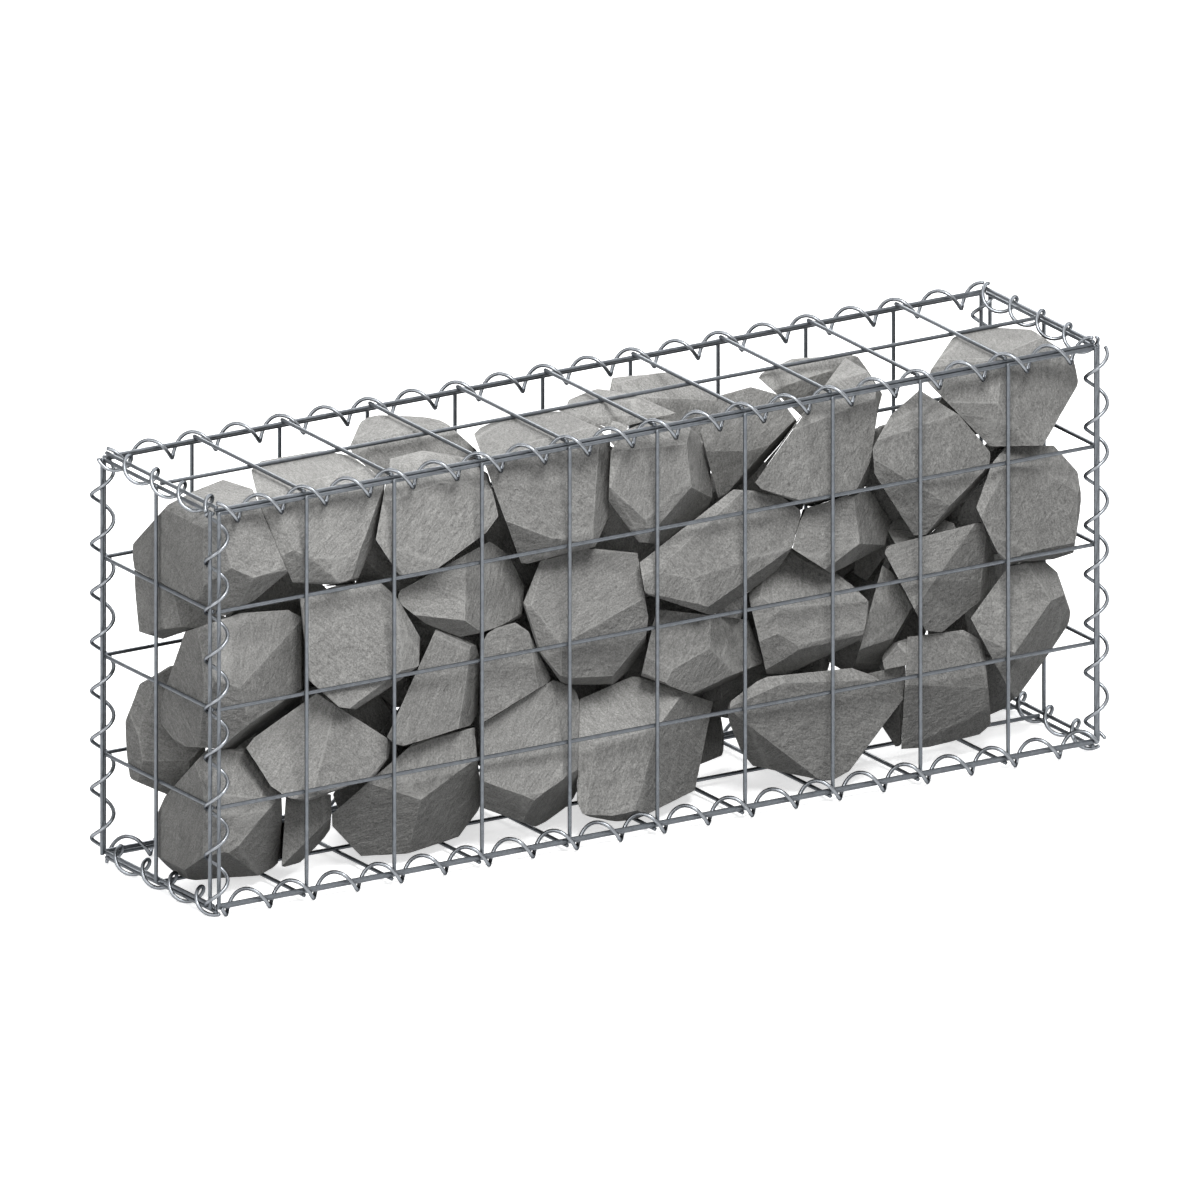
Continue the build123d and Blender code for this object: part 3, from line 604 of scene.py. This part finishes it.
def ways_around(count, turn):
    """Directions spread evenly over a sphere."""
    for step in range(count):
        height = 1 - (2 * step + 1) / count
        girth = math.sqrt(1 - height ** 2)
        angle = turn + step * GOLDEN_ANGLE
        yield Vector((math.cos(angle) * girth, math.sin(angle) * girth, height))


def gap_at(point, surfaces):
    """The narrowest gap between two stones around a point, up to twice a small stone's reach."""
    gap = 2 * SMALL_REACH
    for way in ways_around(GAUGE_WAYS, 0):
        ahead = surfaces.ray_cast(point, way, SMALL_REACH)[3]
        behind = surfaces.ray_cast(point, -way, SMALL_REACH)[3]
        if ahead is not None and behind is not None:
            gap = min(gap, ahead + behind)
    return gap


def throat(crack, surfaces):
    """The point of a crack's sight line where the stones leave the least room for a small one."""
    across, down = crack
    start = AIM + (RIGHT * (across - PHOTO_MIDDLE) + UP * (PHOTO_MIDDLE - down)) / PIXELS_PER_METRE
    found = []
    for step in range(-SIGHT_STEPS, SIGHT_STEPS + 1):
        point = start - BACK * SIGHT_STEP * step
        inside = all(FILL_LOW[k] < point[k] < FILL_HIGH[k] for k in range(3))
        if inside and point.y > FILL_LOW[1] + FRONT_ROOM:
            place, normal, _, _ = surfaces.find_nearest(point)
            gap = gap_at(point, surfaces)
            if (point - place).dot(normal) > 0 and gap > LEAST_GAP:
                found.append((gap, step, point))
    return min(found)[2]


def small_stone(centre, turn, surfaces):
    """A convex stone cut by the facets of the stones around it."""
    planes = []
    for side, way in enumerate(ways_around(SMALL_SIDES, turn)):
        place, normal, _, _ = surfaces.ray_cast(centre, way, SMALL_REACH)
        if place is None:
            share = 0.85 + 0.15 * math.sin(turn * 3.1 + side * 1.7)
            planes.append((centre + way * SMALL_REACH * share, way))
        elif all(normal.dot(other) > -SAME_WAY for _, other in planes):
            planes.append((place, -normal))
    stone = bmesh.new()
    bmesh.ops.create_cube(stone, size=2 * SMALL_REACH, matrix=Matrix.Translation(centre))
    for place, way in planes:
        cut_off(stone, place, way)
    bmesh.ops.recalc_face_normals(stone, faces=stone.faces[:])
    stone.normal_update()
    return stone


cad_stones = stone_surfaces()
wedged = [small_stone(throat(crack, cad_stones), turn, cad_stones) for turn, crack in enumerate(CRACKS)]
wedged_mesh = worn_mesh("small_fill_stones", wedged, SMALL_CUT, SMALL_SEED, 0)
add_piece("small_fill_stones", None, wedged_mesh, STONE)


# Floor, light and camera

FLOOR_CORNERS = [(-9, -9, 0), (9, -9, 0), (9, 9, 0), (-9, 9, 0)]
FLOOR_DROP = 0.0005
LIGHT_AIM = (0, 0, 0.2)
CAMERA_DISTANCE = 3
CAMERA_REACH = 50


def add_light(name, place, size, power, aim=LIGHT_AIM):
    data = bpy.data.lights.new(name, "AREA")
    data.shape = "DISK"
    data.size = size
    data.energy = power
    light = bpy.data.objects.new(name, data)
    light.location = place
    light.rotation_mode = "QUATERNION"
    light.rotation_quaternion = (Vector(aim) - Vector(place)).to_track_quat("-Z", "Y")
    bpy.context.scene.collection.objects.link(light)


def seen_plainly(tree):
    """One for rays from the camera, off gloss and through glass, and zero for the rest."""
    path = tree.nodes.new("ShaderNodeLightPath").outputs
    gloss = math_node(tree, "MAXIMUM", path["Is Camera Ray"], path["Is Glossy Ray"])
    return math_node(tree, "MAXIMUM", gloss, path["Is Transmission Ray"])


def flat_shader(tree, kind, colour, strength=None):
    """A shader of one colour."""
    shader = tree.nodes.new(kind)
    shader.inputs["Color"].default_value = (*colour, 1)
    if strength is not None:
        shader.inputs["Strength"].default_value = strength
    return shader


def split_sight(tree, lit, shown, output):
    """Show one shader in plain sight, and light the scene by another."""
    either = tree.nodes.new("ShaderNodeMixShader")
    tree.links.new(seen_plainly(tree), either.inputs[0])
    tree.links.new(lit.outputs[0], either.inputs[1])
    tree.links.new(shown.outputs[0], either.inputs[2])
    tree.links.new(either.outputs[0], tree.nodes.new(output).inputs["Surface"])


floor_mesh = bpy.data.meshes.new("floor")
floor_mesh.from_pydata(FLOOR_CORNERS, [], [(0, 1, 2, 3)])
floor = bpy.data.objects.new("floor", floor_mesh)
floor.location.z = -FLOOR_DROP
bpy.context.scene.collection.objects.link(floor)
floor_paint = bpy.data.materials.new("pale_floor")
floor_paint.use_nodes = True
floor_tree = floor_paint.node_tree
floor_tree.nodes.clear()
pale = flat_shader(floor_tree, "ShaderNodeBsdfDiffuse", grey(0.92))
glow = flat_shader(floor_tree, "ShaderNodeEmission", grey(1), 0.62)
lifted = floor_tree.nodes.new("ShaderNodeAddShader")
floor_tree.links.new(pale.outputs[0], lifted.inputs[0])
floor_tree.links.new(glow.outputs[0], lifted.inputs[1])
dull = flat_shader(floor_tree, "ShaderNodeBsdfDiffuse", (0.09, 0.09, 0.093))
split_sight(floor_tree, dull, lifted, "ShaderNodeOutputMaterial")
floor_mesh.materials.append(floor_paint)

world = bpy.context.scene.world or bpy.data.worlds.new("studio")
bpy.context.scene.world = world
world.use_nodes = True
world_tree = world.node_tree
world_tree.nodes.clear()
white = flat_shader(world_tree, "ShaderNodeBackground", grey(1), 1.0)
soft = flat_shader(world_tree, "ShaderNodeBackground", (0.97, 0.985, 1.0), 0.24)
split_sight(world_tree, soft, white, "ShaderNodeOutputWorld")

add_light("key", (-0.6, -1.8, 2.5), 1.3, 94, (0.15, 0, 0.2))
add_light("top", (0.3, -0.1, 2.8), 2.0, 22)
add_light("behind", (0.9, 2.3, 2.0), 1.8, 60)
add_light("right", (2.8, 0.4, 1.3), 1.6, 28)
add_light("left", (-2.8, -0.9, 1.2), 1.6, 28)
add_light("fill", (-1.5, -2.6, 1.1), 0.8, 16)

camera_data = bpy.data.cameras.new("camera")
camera_data.type = "ORTHO"
camera_data.ortho_scale = 2 * PHOTO_MIDDLE / PIXELS_PER_METRE
camera_data.clip_end = CAMERA_REACH
camera = bpy.data.objects.new("camera", camera_data)
camera.location = AIM + BACK * CAMERA_DISTANCE
camera.rotation_mode = "QUATERNION"
camera.rotation_quaternion = (-BACK).to_track_quat("-Z", "Y")
bpy.context.scene.collection.objects.link(camera)
bpy.context.scene.camera = camera
bpy.context.scene.view_settings.view_transform = "Standard"
